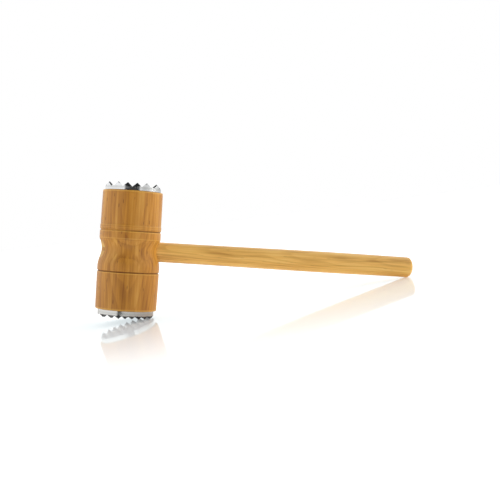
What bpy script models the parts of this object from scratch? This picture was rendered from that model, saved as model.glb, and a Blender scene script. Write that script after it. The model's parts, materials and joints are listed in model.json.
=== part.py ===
"""A wooden meat mallet with a toothed aluminium plate on each end of its turned head.

The tool is modelled in its own axes, with +Z along the head, +X along the handle and the two axes
crossing at the origin. An empty then leans it the way it rests on a table, on the edge of its lower
plate and on its butt, and stands it on z = 0. All lengths are in metres.
"""

import math

import bmesh
import bpy
from mathutils import Matrix, Vector

# Turned head. Heights are measured along the head from the handle's axis.
HEAD_LENGTH = 0.1106
HEAD_EDGE = 0.0008
UPPER_END_RADIUS = 0.0278
UPPER_RADIUS = 0.0281
COLLAR_TOP = 0.0230
COLLAR_RADIUS = 0.0284
UPPER_GROOVE_HEIGHT = 0.0183
COVE_TOP = 0.0108
COVE_DEEPEST = 0.0003
COVE_FOOT = -0.0150
COVE_RADIUS = 0.0258
LOWER_GROOVE_HEIGHT = -0.0200
LOWER_RADIUS = 0.0288
LOWER_END_RADIUS = 0.0284
GROOVE_WIDTH = 0.0014
GROOVE_DEPTH = 0.0008
WIDEST_RADIUS = max(UPPER_RADIUS, COLLAR_RADIUS, LOWER_RADIUS)

# Handle, turned in one piece with the tenon that runs through the head.
HANDLE_REACH = 0.2875
TENON_RADIUS = 0.0094
SWELL_RADIUS = 0.0104
SWELL_DISTANCE = 0.2100
BUTT_RADIUS = 0.0102
BUTT_ROUNDING = 0.0042

# Wedge in the tenon's far end, driven in along the handle.
WEDGE_LENGTH = 0.0240
WEDGE_THICK_END = 0.0030
WEDGE_THIN_END = 0.0012
WEDGE_SIDE_CLEARANCE = 0.0007

# Toothed plates: round castings with two sets of V grooves at right angles.
PLATE_RADIUS = 0.0260
PLATE_THICKNESS = 0.0070
COARSE_PITCH = 0.0086
COARSE_TOOTH_HEIGHT = 0.0041
COARSE_TURN = math.radians(-10.3)
FINE_PITCH = 0.0062
FINE_TOOTH_HEIGHT = 0.0032
FINE_TURN = 0.0
TOOTH_LAND = 0.0005
# The grooves across are this much shallower, so that two root lines never meet in one point.
ROOT_STEP = 0.00005

# Countersunk wood screw through the middle of each plate.
SCREW_LENGTH = 0.0300
SCREW_HEAD_RADIUS = 0.0033
SCREW_HEAD_HEIGHT = 0.0021
SCREW_SHANK_RADIUS = 0.0018
SCREW_POINT = 0.0050
SCREW_SLOT_WIDTH = 0.0009
SCREW_SLOT_DEPTH = 0.0008

# Clearance between any two pieces that touch on the real tool, and overrun of a cutter past a face.
FIT_GAP = 0.0003
OVERRUN = 0.0050

HEAD_STEPS = 56
HANDLE_STEPS = 36
PLATE_STEPS = 72
SMALL_STEPS = 24


def stations(start, end, count):
    """Evenly spaced values from start to end, both included."""
    return [start + (end - start) * i / (count - 1) for i in range(count)]


# ---------------------------------------------------------------- scene and materials


def clear_scene():
    for obj in list(bpy.data.objects):
        bpy.data.objects.remove(obj, do_unlink=True)


def new_collection(name):
    collection = bpy.data.collections.new(name)
    bpy.context.scene.collection.children.link(collection)
    return collection


def principled(name, color, roughness, metallic=0.0):
    material = bpy.data.materials.new(name)
    material.use_nodes = True
    shader = material.node_tree.nodes["Principled BSDF"]
    shader.inputs["Base Color"].default_value = (*color, 1)
    shader.inputs["Roughness"].default_value = roughness
    shader.inputs["Metallic"].default_value = metallic
    return material


class Workshop:
    """Where finished pieces and cutters go, and the empty that carries them all."""

    def __init__(self):
        self.pieces = new_collection("meat_mallet")
        self.cutters = new_collection("meat_mallet_cutters")
        self.tool = bpy.data.objects.new("tool_axes", None)
        self.pieces.objects.link(self.tool)

    def add_piece(self, name, mesh, material):
        piece = bpy.data.objects.new(name, mesh)
        mesh.materials.append(material)
        piece.parent = self.tool
        self.pieces.objects.link(piece)
        return piece

    def add_cutter(self, name, mesh):
        cutter = bpy.data.objects.new(name, mesh)
        cutter.parent = self.tool
        cutter.hide_render = True
        cutter.display_type = "WIRE"
        self.cutters.objects.link(cutter)
        return cutter


def cut(piece, cutter):
    boolean = piece.modifiers.new("cut_" + cutter.name, "BOOLEAN")
    boolean.operation = "DIFFERENCE"
    boolean.solver = "EXACT"
    boolean.object = cutter


# ---------------------------------------------------------------- meshes


def outline_mesh(name, profile):
    """A mesh of the profile's (radius, height) points, in the XZ plane, joined in order."""
    mesh = bpy.data.meshes.new(name)
    points = [(radius, 0, height) for radius, height in profile]
    mesh.from_pydata(points, [(i, i + 1) for i in range(len(points) - 1)], [])
    return mesh


def turn(obj, steps):
    """Turns the object's profile round its local Z axis."""
    screw = obj.modifiers.new("turned", "SCREW")
    screw.axis = "Z"
    screw.angle = math.tau
    screw.steps = steps
    screw.render_steps = steps
    screw.use_merge_vertices = True
    screw.merge_threshold = 0.00001
    screw.use_smooth_shade = True


def box_mesh(name, size, centre):
    mesh = bpy.data.meshes.new(name)
    shape = bmesh.new()
    bmesh.ops.create_cube(shape, size=1, matrix=Matrix.Translation(centre) @ Matrix.Diagonal((*size, 1)))
    shape.to_mesh(mesh)
    shape.free()
    return mesh


def taper_mesh(name, start_x, end_x, width, start_thickness, end_thickness):
    """A flat taper along X: width across Y, and its thickness in Z changing from start to end."""
    length = end_x - start_x
    mesh = box_mesh(name, (length, width, 1), ((start_x + end_x) / 2, 0, 0))
    for vertex in mesh.vertices:
        at_start = vertex.co.x < (start_x + end_x) / 2
        vertex.co.z *= start_thickness if at_start else end_thickness
    return mesh


def cylinder_mesh(name, radius, low, high, steps):
    mesh = bpy.data.meshes.new(name)
    shape = bmesh.new()
    bmesh.ops.create_cone(
        shape,
        cap_ends=True,
        segments=steps,
        radius1=radius,
        radius2=radius,
        depth=high - low,
        matrix=Matrix.Translation((0, 0, (low + high) / 2)),
    )
    shape.to_mesh(mesh)
    shape.free()
    return mesh


# ---------------------------------------------------------------- turned head


def eased(high, low, share):
    """A radius that leaves high slowly and reaches low at an angle, as share goes from 0 to 1."""
    return high + (low - high) * share**2


def head_radius(height):
    """Radius of the turned head without its grooves and edges: plain, collar, cove, plain."""
    if height > COLLAR_TOP:
        return eased(UPPER_RADIUS, UPPER_END_RADIUS, (height - COLLAR_TOP) / (HEAD_LENGTH / 2 - COLLAR_TOP))
    if height >= COVE_TOP:
        return COLLAR_RADIUS
    if height > COVE_DEEPEST:
        share = (COVE_TOP - height) / (COVE_TOP - COVE_DEEPEST)
        return COLLAR_RADIUS + (COVE_RADIUS - COLLAR_RADIUS) * math.sin(math.pi / 2 * share)
    if height > COVE_FOOT:
        share = (COVE_DEEPEST - height) / (COVE_DEEPEST - COVE_FOOT)
        return COVE_RADIUS + (LOWER_RADIUS - COVE_RADIUS) * (1 - math.cos(math.pi * share)) / 2
    if height > LOWER_GROOVE_HEIGHT:
        return LOWER_RADIUS
    share = (LOWER_GROOVE_HEIGHT - height) / (LOWER_GROOVE_HEIGHT + HEAD_LENGTH / 2)
    return eased(LOWER_RADIUS, LOWER_END_RADIUS, share)


def groove_points(height):
    """The four corners of a round-bottomed groove, from its upper lip to its lower lip."""
    floor = head_radius(height) - GROOVE_DEPTH
    lip, foot = GROOVE_WIDTH / 2, GROOVE_WIDTH / 6
    return [
        (head_radius(height + lip), height + lip),
        (floor, height + foot),
        (floor, height - foot),
        (head_radius(height - lip), height - lip),
    ]


def surface_points(high, low, count):
    """Points down the head's surface from one height to another, both included."""
    return [(head_radius(height), height) for height in stations(high, low, count)]


def head_profile():
    top, edge, step = HEAD_LENGTH / 2, HEAD_EDGE, HEAD_EDGE / 2
    return [
        (0, top),
        (UPPER_END_RADIUS - edge, top),
        *surface_points(top - edge, COLLAR_TOP + step, 5),
        (COLLAR_RADIUS, COLLAR_TOP),
        *groove_points(UPPER_GROOVE_HEIGHT),
        *surface_points(COVE_TOP, COVE_DEEPEST, 6),
        *surface_points(COVE_DEEPEST, COVE_FOOT, 9)[1:],
        *groove_points(LOWER_GROOVE_HEIGHT),
        *surface_points(LOWER_GROOVE_HEIGHT - GROOVE_WIDTH, edge - top, 5),
        (LOWER_END_RADIUS - edge, -top),
        (0, -top),
    ]


def make_head(shop):
    wood = principled("head_wood", (0.50, 0.24, 0.075), 0.5)
    head = shop.add_piece("head_barrel", outline_mesh("head_barrel", head_profile()), wood)
    turn(head, HEAD_STEPS)

    length = 2 * (WIDEST_RADIUS + OVERRUN)
    bore_mesh = cylinder_mesh("mortise", TENON_RADIUS + FIT_GAP, -length / 2, length / 2, HANDLE_STEPS)
    bore = shop.add_cutter("mortise_cutter", bore_mesh)
    bore.rotation_euler = (0, math.pi / 2, 0)
    cut(head, bore)

    deepest = HEAD_LENGTH / 2 + PLATE_THICKNESS - SCREW_LENGTH
    for name, tooth_height, side in (("upper", COARSE_TOOTH_HEIGHT, 1), ("lower", FINE_TOOTH_HEIGHT, -1)):
        pilot_mesh = cylinder_mesh(
            name + "_pilot",
            SCREW_SHANK_RADIUS + FIT_GAP,
            deepest - tooth_height,
            HEAD_LENGTH / 2 + OVERRUN,
            SMALL_STEPS,
        )
        pilot = shop.add_cutter(name + "_pilot_cutter", pilot_mesh)
        pilot.rotation_euler = (0 if side > 0 else math.pi, 0, 0)
        cut(head, pilot)
    return head


# ---------------------------------------------------------------- handle and wedge


def grip_radius(distance):
    """Radius of the handle at a distance from the head's axis: it swells, then eases to the butt."""
    start, end = COVE_RADIUS, HANDLE_REACH - BUTT_ROUNDING
    swell = min(SWELL_DISTANCE, end)
    if distance <= start:
        return TENON_RADIUS
    if distance <= swell:
        low, high, share = TENON_RADIUS, SWELL_RADIUS, (distance - start) / (swell - start)
    else:
        low, high, share = SWELL_RADIUS, BUTT_RADIUS, (distance - swell) / (end - swell)
    return low + (high - low) * (1 - math.cos(math.pi * share)) / 2


def handle_profile():
    """From the middle of the butt, down the grip and the tenon, to the middle of the tenon's end."""
    end = HANDLE_REACH - BUTT_ROUNDING
    rounding = [
        (
            BUTT_RADIUS - BUTT_ROUNDING * (1 - math.cos(angle)),
            end + BUTT_ROUNDING * math.sin(angle),
        )
        for angle in stations(math.pi / 2, 0, 7)
    ]
    grip = [(grip_radius(x), x) for x in stations(end, COVE_RADIUS, 12)[1:]]
    tenon_end = -WIDEST_RADIUS - OVERRUN
    return [(0, HANDLE_REACH), *rounding, *grip, (TENON_RADIUS, tenon_end), (0, tenon_end)]


def make_offcut_cutter(shop):
    """What is sawn and sanded off the tenon's far end, so that it follows the head's own outline."""
    outer = WIDEST_RADIUS + 2 * OVERRUN
    inner = COVE_RADIUS / 2
    side = 2 * (TENON_RADIUS + OVERRUN)
    block = box_mesh("offcut", (outer - inner, side, side), (-(outer + inner) / 2, 0, 0))
    offcut = shop.add_cutter("offcut_cutter", block)
    outline = shop.add_cutter("head_outline", outline_mesh("head_outline", head_profile()))
    turn(outline, HEAD_STEPS)
    cut(offcut, outline)
    return offcut


def make_handle_and_wedge(shop):
    wood = principled("handle_wood", (0.60, 0.32, 0.10), 0.45)
    handle = shop.add_piece("handle", outline_mesh("handle", handle_profile()), wood)
    handle.rotation_euler = (0, math.pi / 2, 0)
    turn(handle, HANDLE_STEPS)
    offcut = make_offcut_cutter(shop)
    cut(handle, offcut)

    far_end = -COVE_RADIUS - OVERRUN
    thin_end = -COVE_RADIUS + WEDGE_LENGTH
    slope = (WEDGE_THICK_END - WEDGE_THIN_END) / WEDGE_LENGTH
    thick = WEDGE_THICK_END + slope * OVERRUN
    slot_mesh = taper_mesh(
        "wedge_slot",
        far_end - OVERRUN,
        thin_end + FIT_GAP,
        2 * (TENON_RADIUS + OVERRUN),
        thick + slope * OVERRUN + 2 * FIT_GAP,
        WEDGE_THIN_END + 2 * FIT_GAP,
    )
    cut(handle, shop.add_cutter("wedge_slot_cutter", slot_mesh))

    wedge_wood = principled("wedge_wood", (0.28, 0.13, 0.05), 0.55)
    width = 2 * (TENON_RADIUS - WEDGE_SIDE_CLEARANCE)
    wedge_mesh = taper_mesh("handle_wedge", far_end, thin_end, width, thick, WEDGE_THIN_END)
    wedge = shop.add_piece("handle_wedge", wedge_mesh, wedge_wood)
    cut(wedge, offcut)
    return handle, wedge


# ---------------------------------------------------------------- toothed plates and their screws


def groove_cutter_mesh(name, pitch, tooth_height):
    """Parallel V grooves along Y, cut down to the teeth's roots, with a narrow land between them.

    Each is a three-sided prism whose top stands a quarter of a land above the teeth, so that two
    neighbours never meet.
    """
    root = PLATE_THICKNESS - tooth_height
    half_width = pitch / 2 - TOOTH_LAND / 4
    depth = tooth_height * half_width / (pitch / 2 - TOOTH_LAND / 2)
    # A three-sided prism of unit radius is 1.5 high and the square root of 3 wide.
    size = Matrix.Diagonal((half_width / (math.sqrt(3) / 2), depth / 1.5, 1, 1))
    stand = Matrix.Rotation(-math.pi / 2, 4, "X")
    reach = math.floor(PLATE_RADIUS / pitch + 0.5)
    mesh = bpy.data.meshes.new(name)
    shape = bmesh.new()
    for row in range(-reach, reach + 1):
        middle = (row * pitch, 0, root + depth * 2 / 3)
        bmesh.ops.create_cone(
            shape,
            cap_ends=True,
            segments=3,
            radius1=1,
            radius2=1,
            depth=2 * (PLATE_RADIUS + OVERRUN),
            matrix=Matrix.Translation(middle) @ stand @ size,
        )
    shape.to_mesh(mesh)
    shape.free()
    return mesh


def countersink_profile(root):
    """Hole through the plate for the screw, its seat, and the way down to it between the teeth."""
    wide, narrow = SCREW_HEAD_RADIUS + FIT_GAP, SCREW_SHANK_RADIUS + FIT_GAP
    top = PLATE_THICKNESS + OVERRUN
    return [
        (0, top),
        (wide, top),
        (wide, root - FIT_GAP),
        (narrow, root - SCREW_HEAD_HEIGHT - FIT_GAP),
        (narrow, -OVERRUN),
        (0, -OVERRUN),
    ]


def screw_profile():
    """Countersunk head with its top at height 0, a plain shank and a point."""
    rim = SCREW_HEAD_HEIGHT / 8
    return [
        (0, 0),
        (SCREW_HEAD_RADIUS, 0),
        (SCREW_HEAD_RADIUS, -rim),
        (SCREW_SHANK_RADIUS, -SCREW_HEAD_HEIGHT),
        (SCREW_SHANK_RADIUS, SCREW_POINT - SCREW_LENGTH),
        (0, -SCREW_LENGTH),
    ]


def make_plate_and_screw(shop, name, pitch, tooth_height, turned, side, metal, steel):
    """One toothed plate on an end of the head, and its screw. side is 1 above and -1 below."""
    root = PLATE_THICKNESS - tooth_height
    flip = Matrix.Identity(4) if side > 0 else Matrix.Rotation(math.pi, 4, "X")
    seat = flip @ Matrix.Translation((0, 0, HEAD_LENGTH / 2 + FIT_GAP)) @ Matrix.Rotation(turned, 4, "Z")

    blank = cylinder_mesh(name, PLATE_RADIUS, 0, PLATE_THICKNESS, PLATE_STEPS)
    plate = shop.add_piece(name + "_plate", blank, metal)
    plate.matrix_basis = seat

    # Half a step round, the hole's corners stay clear of the lines where the grooves meet.
    half_step = Matrix.Rotation(math.pi / SMALL_STEPS, 4, "Z")
    hole = shop.add_cutter(name + "_countersink", outline_mesh(name + "_hole", countersink_profile(root)))
    hole.matrix_basis = seat @ half_step
    turn(hole, SMALL_STEPS)
    cut(plate, hole)

    grooves = groove_cutter_mesh(name + "_grooves", pitch, tooth_height)
    for direction, quarter, lift in (("along", 0, 0), ("across", math.pi / 2, ROOT_STEP)):
        cutter = shop.add_cutter(f"{name}_grooves_{direction}", grooves)
        cutter.matrix_basis = seat @ Matrix.Rotation(quarter, 4, "Z") @ Matrix.Translation((0, 0, lift))
        cut(plate, cutter)

    screw = shop.add_piece(name + "_plate_screw", outline_mesh(name + "_screw", screw_profile()), steel)
    screw.matrix_basis = seat @ half_step @ Matrix.Translation((0, 0, root))
    turn(screw, SMALL_STEPS)
    slot_size = (2 * (SCREW_HEAD_RADIUS + OVERRUN), SCREW_SLOT_WIDTH, 2 * SCREW_SLOT_DEPTH)
    slot = shop.add_cutter(name + "_slot_cutter", box_mesh(name + "_slot", slot_size, (0, 0, 0)))
    slot.matrix_basis = screw.matrix_basis
    cut(screw, slot)
    return plate, screw


# ---------------------------------------------------------------- the resting pose


def points_of(pieces):
    """Every corner of the pieces' finished meshes, in world space."""
    bpy.context.view_layer.update()
    graph = bpy.context.evaluated_depsgraph_get()
    return [
        piece.matrix_world @ vertex.co for piece in pieces for vertex in piece.evaluated_get(graph).data.vertices
    ]


def resting_lean(points):
    """Slope of the table in the tool's axes: the line that touches head and handle from below."""

    def slope(low, high):
        return (high.z - low.z) / (high.x - low.x)

    head = [point for point in points if point.x < WIDEST_RADIUS]
    grip = [point for point in points if point.x > WIDEST_RADIUS + OVERRUN]
    foot = min(head, key=lambda point: point.z)
    for _ in range(4):
        heel = min(grip, key=lambda point: slope(foot, point))
        foot = max(head, key=lambda point: slope(point, heel))
    return math.atan(slope(foot, heel))


def stand_on_table(tool, pieces):
    """Leans the tool until it rests, then puts the bottom centre of its box at the origin."""
    tool.rotation_euler = (0, resting_lean(points_of(pieces)), 0)
    points = points_of(pieces)
    lowest = Vector(min(point[i] for point in points) for i in range(3))
    highest = Vector(max(point[i] for point in points) for i in range(3))
    middle = (lowest + highest) / 2
    tool.location = (-middle.x, -middle.y, -lowest.z)


def main():
    clear_scene()
    shop = Workshop()
    aluminium = principled("cast_aluminium", (0.80, 0.81, 0.80), 0.25, metallic=1.0)
    steel = principled("screw_steel", (0.60, 0.60, 0.58), 0.3, metallic=1.0)
    head = make_head(shop)
    handle, wedge = make_handle_and_wedge(shop)
    coarse = make_plate_and_screw(
        shop, "coarse", COARSE_PITCH, COARSE_TOOTH_HEIGHT, COARSE_TURN, 1, aluminium, steel
    )
    fine = make_plate_and_screw(
        shop, "fine", FINE_PITCH, FINE_TOOTH_HEIGHT, FINE_TURN, -1, aluminium, steel
    )
    stand_on_table(shop.tool, [head, handle, wedge, *coarse, *fine])


main()
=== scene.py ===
"""The visual model of a wooden meat mallet with a toothed aluminium plate on each end of its head.

Every piece is shaped in the tool's own axes, +Z along the head and +X along the handle, crossing in
the middle of the head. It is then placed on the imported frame, which leans the tool the way it rests
on a table. All lengths are in metres.
"""

import json
import logging
import math
from dataclasses import dataclass
from enum import Enum
from typing import Any, Callable, Iterable, Optional, Sequence, Union

import bmesh
import bpy
from mathutils import Matrix, Vector


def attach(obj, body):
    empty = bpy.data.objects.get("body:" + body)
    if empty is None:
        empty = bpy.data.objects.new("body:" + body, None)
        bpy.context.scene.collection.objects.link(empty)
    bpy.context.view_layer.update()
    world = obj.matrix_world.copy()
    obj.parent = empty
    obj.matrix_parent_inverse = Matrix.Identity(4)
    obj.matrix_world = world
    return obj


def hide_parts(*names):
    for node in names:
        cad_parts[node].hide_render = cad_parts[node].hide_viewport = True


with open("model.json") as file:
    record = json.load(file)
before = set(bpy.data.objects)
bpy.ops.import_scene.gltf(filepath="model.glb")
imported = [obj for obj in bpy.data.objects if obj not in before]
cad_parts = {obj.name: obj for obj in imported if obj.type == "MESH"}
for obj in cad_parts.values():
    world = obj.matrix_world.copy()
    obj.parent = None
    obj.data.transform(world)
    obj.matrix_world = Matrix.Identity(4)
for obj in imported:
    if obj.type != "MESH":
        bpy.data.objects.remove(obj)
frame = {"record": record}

LOG = logging.getLogger("meat_mallet")
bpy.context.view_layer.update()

Colour = tuple[float, float, float]
Span = tuple[float, float]
Profile = list[Span]
Placing = Callable[[float, float, float], Sequence[float]]
FIT_GAP = 0.0003
SNUG_GAP = 0.0001
OVERRUN = 0.0050
MERGE_REACH = 0.0000005
INSET_SHARE = 0.9985
SENSOR_WIDTH = 36.0
WHITE: Colour = (1.0, 1.0, 1.0)


def between(start: float, end: float, share: float) -> float:
    """Returns the value a share of the way from start to end."""
    return start + (end - start) * share


def swing(share: float) -> float:
    """Returns a share eased at both ends, as half a turn gives it."""
    return (1 - math.cos(math.pi * share)) / 2


def stations(start: float, end: float, count: int) -> list[float]:
    """Returns evenly spaced values from start to end, both included."""
    return [between(start, end, i / (count - 1)) for i in range(count)]


def stain(red: int, green: int, blue: int) -> Colour:
    """Returns the linear colour of a display colour given as whole numbers from 0 to 255."""
    return tuple(((part / 255 + 0.055) / 1.055) ** 2.4 for part in (red, green, blue))


# ---------------------------------------------------------------- node trees


def two_sided(operation: str) -> tuple[Callable, Callable]:
    """Makes a method of Wire that adds a node of two inputs.

    Args:
        operation: The node's operation.

    Returns:
        The method, and its reflected form.
    """

    def plain(wire: "Wire", other: "Feed") -> "Wire":
        """Works on the wire and another value."""
        return wire.combined(operation, wire, other)

    def reflected(wire: "Wire", other: "Feed") -> "Wire":
        """Works on another value and the wire."""
        return wire.combined(operation, other, wire)

    return plain, reflected


def one_sided(operation: str) -> Callable:
    """Makes a method of Wire that adds a Math node of one input."""
    return lambda wire: wire.bench.add("ShaderNodeMath", {"operation": operation}, {0: wire})


class Wire:
    """An output of a node that takes part in Python expressions: each operator adds a node."""

    __add__, __radd__ = two_sided("ADD")
    __sub__, __rsub__ = two_sided("SUBTRACT")
    __mul__, __rmul__ = two_sided("MULTIPLY")
    __truediv__, __rtruediv__ = two_sided("DIVIDE")
    __pow__, __rpow__ = two_sided("POWER")
    least, most, over = (two_sided(name)[0] for name in ("MINIMUM", "MAXIMUM", "GREATER_THAN"))
    size, sign, wave, remainder = (one_sided(name) for name in ("ABSOLUTE", "SIGN", "SINE", "FRACT"))

    def __init__(self, bench: "Bench", socket: bpy.types.NodeSocket) -> None:
        """Keeps the output and the bench whose tree it belongs to."""
        self.bench = bench
        self.socket = socket

    def combined(self, operation: str, first: "Feed", second: "Feed") -> "Wire":
        """Adds a Math node, or a Vector Math node where either side is a vector.

        Args:
            operation: The node's operation.
            first: Its first input.
            second: Its second input.

        Returns:
            The node's result.
        """
        pair, kind = [first, second], "ShaderNodeMath"
        if any(isinstance(item, Wire) and item.socket.type == "VECTOR" for item in pair):
            kind = "ShaderNodeVectorMath"
            pair = [(item,) * 3 if isinstance(item, (int, float)) else item for item in pair]
        return self.bench.add(kind, {"operation": operation}, dict(enumerate(pair)))

    def length(self) -> "Wire":
        """Returns a vector's length."""
        return self.bench.add("ShaderNodeVectorMath", {"operation": "LENGTH"}, {0: self}, "Value")

    def parts(self) -> "tuple[Wire, Wire, Wire]":
        """Returns a vector's three parts."""
        first = self.bench.add("ShaderNodeSeparateXYZ", {}, {0: self}, "X")
        return first, first.beside("Y"), first.beside("Z")

    def ease(self, low: float, high: float) -> "Wire":
        """Returns a smooth rise from 0 at low to 1 at high, or a fall where low is above high.

        Args:
            low: Where the result is 0.
            high: Where it is 1.

        Returns:
            The eased share.
        """
        if low > high:
            return 1.0 - self.ease(high, low)
        settings = {"interpolation_type": "SMOOTHSTEP"}
        return self.bench.add("ShaderNodeMapRange", settings, {0: self, 1: low, 2: high, 3: 0.0, 4: 1.0})

    def beside(self, output: str) -> "Wire":
        """Returns another output of the same node."""
        return Wire(self.bench, self.socket.node.outputs[output])


Feed = Union[Wire, float, Sequence[float], bpy.types.Material, Sequence[Wire]]
Look = tuple[Wire, Wire, Wire]


class Bench:
    """Builds one node tree, of a finish, of the studio's surroundings or of Geometry Nodes."""

    def __init__(self, tree: bpy.types.NodeTree) -> None:
        """Empties the tree."""
        self.tree = tree
        tree.nodes.clear()

    def add(
        self,
        kind: str,
        settings: Optional[dict[str, Any]] = None,
        feeds: Optional[dict[Union[int, str], Feed]] = None,
        output: Union[int, str] = 0,
    ) -> Wire:
        """Adds a node.

        Args:
            kind: The node's type.
            settings: Its own settings, set first. "stops" gives a colour ramp's positions and colours.
            feeds: The values or wires of its inputs, by name or by place.
            output: Which of its outputs to return.

        Returns:
            The wire of that output.
        """
        node = self.tree.nodes.new(kind)
        for name, value in (settings or {}).items():
            if name == "stops":
                self._set_stops(node.color_ramp, value)
            else:
                setattr(node, name, value)
        for name, value in (feeds or {}).items():
            self.feed(node.inputs[name], value)
        return Wire(self, node.outputs[output])

    def feed(self, socket: bpy.types.NodeSocket, value: Feed) -> None:
        """Links a wire or several to an input, or sets the input's own value.

        Args:
            socket: The input.
            value: A wire, a list of wires, a number, a vector, a colour or a material.
        """
        wires = [value] if isinstance(value, Wire) else value
        if isinstance(wires, list):
            for wire in wires:
                self.tree.links.new(wire.socket, socket)
        elif socket.type == "RGBA":
            socket.default_value = (*value, 1.0)
        else:
            socket.default_value = value

    @staticmethod
    def _set_stops(ramp: bpy.types.ColorRamp, stops: Sequence[tuple[float, Colour]]) -> None:
        """Gives a colour ramp its stops.

        Args:
            ramp: The ramp, which starts with two stops.
            stops: Position and colour of each stop, in order.
        """
        while len(ramp.elements) < len(stops):
            ramp.elements.new(1.0)
        for element, (position, colour) in zip(ramp.elements, stops):
            element.position = position
            element.color = (*colour, 1.0)

    def vector(self, x: Feed, y: Feed, z: Feed) -> Wire:
        """Returns a vector of three values."""
        return self.add("ShaderNodeCombineXYZ", {}, {0: x, 1: y, 2: z})

    def blend(self, share: Feed, first: Feed, second: Feed) -> Wire:
        """Returns a share, from 0 to 1, of the way from the first colour to the second."""
        settings = {"data_type": "RGBA", "clamp_factor": True}
        return self.add("ShaderNodeMix", settings, {0: share, 6: first, 7: second}, 2)

    def noise(self, where: Wire, detail: float, roughness: float = 0.55) -> Wire:
        """Returns noise between 0 and 1, with lumps one unit of the vector across and finer layers."""
        feeds = {"Vector": where, "Scale": 1.0, "Detail": detail, "Roughness": roughness}
        return self.add("ShaderNodeTexNoise", {}, feeds)


# ---------------------------------------------------------------- the tool's axes


@dataclass(frozen=True)
class ToolAxes:
    """Where the tool's own axes lie in the frame."""

    placement: Matrix

    @classmethod
    def from_record(cls, record: dict, reach: float) -> "ToolAxes":
        """Finds the axes from the mount on the handle's end.

        Args:
            record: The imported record.
            reach: Length of the handle from the head's axis to its end.

        Returns:
            The tool's axes.
        """
        mount = next(entry for entry in record["mounts"] if entry["name"] == "butt_end")
        along = Vector(mount["axis"]).normalized()
        across = Vector((0.0, 1.0, 0.0))
        turn = Matrix((along, across, along.cross(across))).transposed().to_4x4()
        return cls(Matrix.Translation(Vector(mount["pos_m"]) - reach * along) @ turn)

    def coordinates(self, bench: Bench) -> Wire:
        """Finds the point being shaded, in the tool's axes.

        Args:
            bench: The finish's bench.

        Returns:
            The point's wire.
        """
        place = bench.add("ShaderNodeTexCoord", {}, {}, "Object")
        back = self.placement.inverted()
        feeds = {"Vector": place, "Location": tuple(back.translation), "Rotation": tuple(back.to_euler())}
        return bench.add("ShaderNodeMapping", {"vector_type": "POINT"}, feeds)

    def normal(self, bench: Bench) -> Wire:
        """Finds the direction that the surface faces, in the tool's axes.

        Args:
            bench: The finish's bench.

        Returns:
            The direction's wire.
        """
        facing = bench.add("ShaderNodeTexCoord", {}, {}, "Normal")
        feeds = {"Vector": facing, "Rotation": tuple(self.placement.inverted().to_euler())}
        return bench.add("ShaderNodeMapping", {"vector_type": "VECTOR"}, feeds)


# ---------------------------------------------------------------- finishes


def new_finish(name: str) -> tuple[bpy.types.Material, Bench]:
    """Makes an empty material.

    Args:
        name: The finish's name.

    Returns:
        The material and the bench that builds its nodes.
    """
    material = bpy.data.materials.new(name)
    material.use_nodes = True
    return material, Bench(material.node_tree)


def finish_surface(bench: Bench, shader: Wire) -> None:
    """Links a shader to a new output node, as the surface."""
    output = bench.tree.nodes.new("ShaderNodeOutputMaterial")
    bench.feed(output.inputs["Surface"], shader)


def finish_solid(bench: Bench, look: Look, relief: Span, own: dict[str, float]) -> None:
    """Ends a finish with a shader that shows its colour, roughness and relief.

    Args:
        bench: The finish's bench.
        look: The colour, the roughness, and the height of the relief.
        relief: Strength of the relief, and its depth.
        own: The shader's other inputs.
    """
    colour, rough, height = look
    strength, depth = relief
    bump = bench.add("ShaderNodeBump", {}, {"Strength": strength, "Distance": depth, "Height": height})
    feeds = {"Base Color": colour, "Roughness": rough, "Normal": bump, **own}
    finish_surface(bench, bench.add("ShaderNodeBsdfPrincipled", {}, feeds))


class Grain(Enum):
    """The way the fibres run, in the tool's axes."""

    ALONG_HEAD = "Z"
    ALONG_HANDLE = "X"


class Mark(Enum):
    """What a band round the turned head does to the wood there."""

    # Darkens a groove: painted shade in the upper groove, plain darkening in the lower one.
    GROOVE_DARKENING = "darker down in a groove, painted shade in the upper one"
    # Pales an edge: partly wear, partly painted highlight.
    WEAR_AND_HIGHLIGHT = "pale wear and painted highlight along an edge"
    TURNING = "faint scratches left by the turning tool"


@dataclass(frozen=True)
class Band:
    """A band round the head at one height."""

    NEAR_SIDE = (-0.008, 0.006)
    CORE_SHARE = 0.35

    mark: Mark
    height: float
    half_width: float
    strength: float = 1.0
    far_share: float = 1.0

    def mask(self, height: Wire, toward_handle: Wire) -> Wire:
        """Works out how strongly the band shows.

        Args:
            height: Height along the head.
            toward_handle: Distance from the head's middle toward the handle.

        Returns:
            The band's strength there.
        """
        round_head = self.far_share + toward_handle.ease(*self.NEAR_SIDE) * (1.0 - self.far_share)
        shape = (height - self.height).size().ease(self.half_width, self.half_width * self.CORE_SHARE)
        return shape * round_head * self.strength


@dataclass(frozen=True)
class Figure:
    """One layer of a wood's figure: its marks in a metre across the grain and along it."""

    across: float
    along: float
    detail: float = 2
    roughness: float = 0.55

    def place(self, bench: Bench, grain: Sequence[Wire]) -> Wire:
        """Returns the point being shaded, scaled so that a mark is one unit across."""
        return bench.vector(grain[0] * self.across, grain[1] * self.across, grain[2] * self.along)

    def noise(self, bench: Bench, grain: Sequence[Wire]) -> Wire:
        """Returns the layer, between 0 and 1."""
        return bench.noise(self.place(bench, grain), self.detail, self.roughness)


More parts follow.
